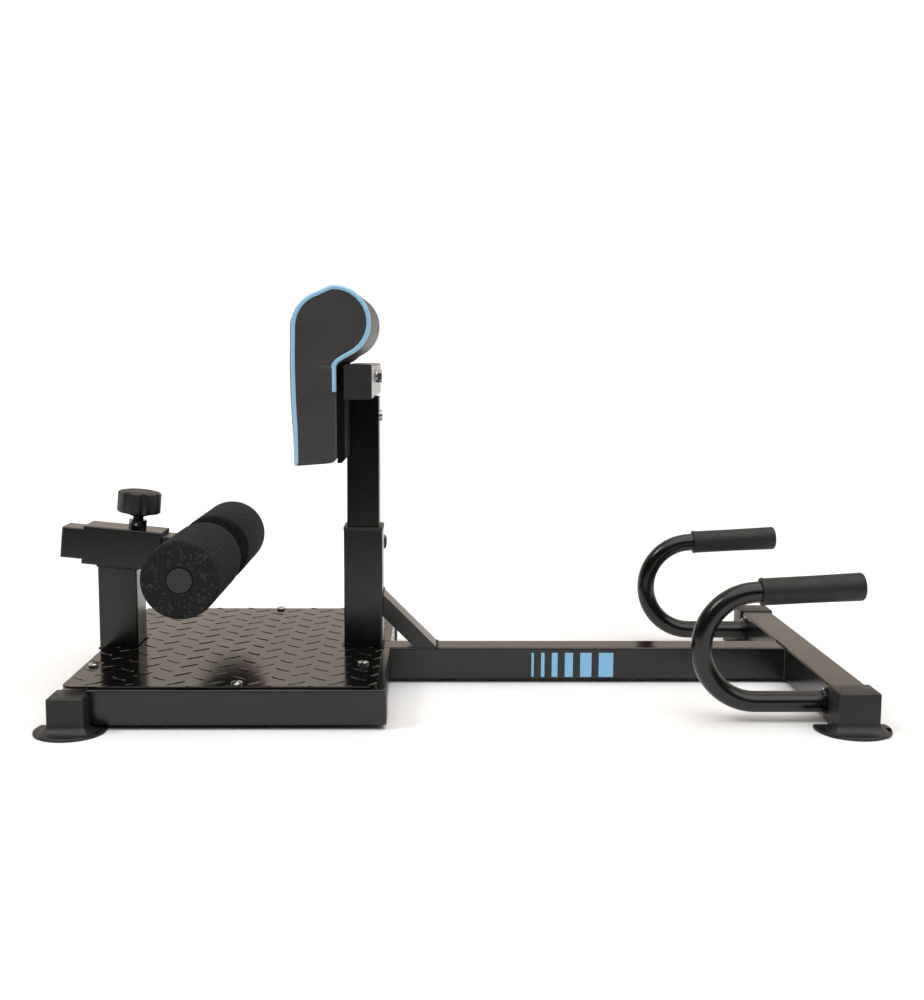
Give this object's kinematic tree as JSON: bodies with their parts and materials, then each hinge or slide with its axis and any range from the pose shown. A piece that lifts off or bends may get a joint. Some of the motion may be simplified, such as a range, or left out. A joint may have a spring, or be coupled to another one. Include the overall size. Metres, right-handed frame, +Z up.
{
  "type": "roman chair",
  "caption": "Low floor-standing roman chair: tread plate, sliding foam foot roller, height-adjustable calf pad on a post, long beam and a cross tube with two push-up handles.",
  "frame": {"origin": "on the floor, under the middle of the whole bench", "axes": "+X along the bench towards the push-up handles, +Y across it, +Z up"},
  "size_m": [1.2166, 0.6424, 0.613],
  "materials": {
    "black_powder_coat": "gloss black powder coat on steel tube",
    "tread_coat": "gloss black coated chequer plate",
    "zinc_steel": "bright zinc-plated steel",
    "black_bolt": "black oxide steel",
    "brass_insert": "turned brass",
    "blue_film": "light blue printed film",
    "black_rubber": "moulded black rubber",
    "black_plastic": "moulded black nylon",
    "knob_plastic": "moulded black nylon, fine grain",
    "roller_foam": "black closed-cell foam with fine speckles",
    "pad_leather": "black synthetic leather with light blue piping",
    "board_wood": "plywood wrapped in black backing cloth"
  },
  "bodies": {
    "base_frame": {"main_beam": "black_powder_coat", "foot_cross_tube": "black_powder_coat", "handle_cross_tube": "black_powder_coat", "side_rail_near": "black_powder_coat", "side_rail_far": "black_powder_coat", "post_cross_rails": "black_powder_coat", "rail_plugs": "black_plastic", "foot_post_packing": "black_powder_coat", "foot_post": "black_powder_coat", "post_sleeve": "black_powder_coat", "post_guide": "black_plastic", "brace": "black_powder_coat", "tread_plate": "tread_coat", "plate_spacers": "zinc_steel", "plate_screws": "zinc_steel", "plate_nuts": "zinc_steel", "beam_bars": "blue_film", "foot_cap_a": "black_rubber", "foot_cap_b": "black_rubber", "foot_cap_c": "black_rubber", "foot_cap_d": "black_rubber", "slider_sleeve": "black_powder_coat", "slider_guides": "black_plastic", "height_nut": "black_powder_coat", "nut_set_screws": "zinc_steel", "height_barrel": "black_bolt", "slider_nut": "black_powder_coat", "slider_barrel": "black_bolt", "handle_near": "black_powder_coat", "handle_far": "black_powder_coat", "grip_near": "black_rubber", "grip_far": "black_rubber", "handle_sockets": "black_powder_coat", "handle_bolts": "zinc_steel", "handle_plugs": "black_plastic"},
    "pad_post": {"upper_post": "black_powder_coat", "post_glide": "black_plastic", "pad_bar": "black_powder_coat", "bar_plugs": "black_plastic", "pad_board": "board_wood", "back_pad": "pad_leather", "bar_bolt": "zinc_steel", "post_bolt": "zinc_steel", "bolt_inserts": "brass_insert"},
    "height_plunger": {"height_pin": "zinc_steel", "height_spring": "zinc_steel", "height_knob": "knob_plastic"},
    "foot_slider": {"slider_tube": "black_powder_coat", "slider_plugs": "black_plastic", "roller_bar": "zinc_steel", "roller_stops": "black_powder_coat", "roller_end_caps": "black_plastic"},
    "slider_plunger": {"slider_pin": "zinc_steel", "slider_spring": "zinc_steel", "slider_knob": "knob_plastic"},
    "roller_near": {"roller_core_near": "black_plastic", "foam_roller_near": "roller_foam"},
    "roller_far": {"roller_core_far": "black_plastic", "foam_roller_far": "roller_foam"}
  },
  "joints": [
    {"name": "pad_height", "type": "slide", "parent": "base_frame", "child": "pad_post", "axis": [0, 0, 1], "range_m": [-0.075, 0.05]},
    {"name": "height_pin_pull", "type": "slide", "parent": "base_frame", "child": "height_plunger", "axis": [0, 1, 0], "range_m": [-0.006, 0.005], "stiffness_N_per_m": 800},
    {"name": "foot_slide", "type": "slide", "parent": "base_frame", "child": "foot_slider", "axis": [0.9954, 0, -0.0958], "range_m": [-0.025, 0.075]},
    {"name": "slider_pin_pull", "type": "slide", "parent": "base_frame", "child": "slider_plunger", "axis": [0.0958, 0, 0.9954], "range_m": [-0.006, 0.005], "stiffness_N_per_m": 800},
    {"name": "roller_near_spin", "type": "hinge", "parent": "foot_slider", "child": "roller_near", "pos_m": [-0.38207, 0, 0.20244], "axis": [0, 1, 0], "continuous": true},
    {"name": "roller_far_spin", "type": "hinge", "parent": "foot_slider", "child": "roller_far", "pos_m": [-0.38207, 0, 0.20244], "axis": [0, 1, 0], "continuous": true}
  ]
}
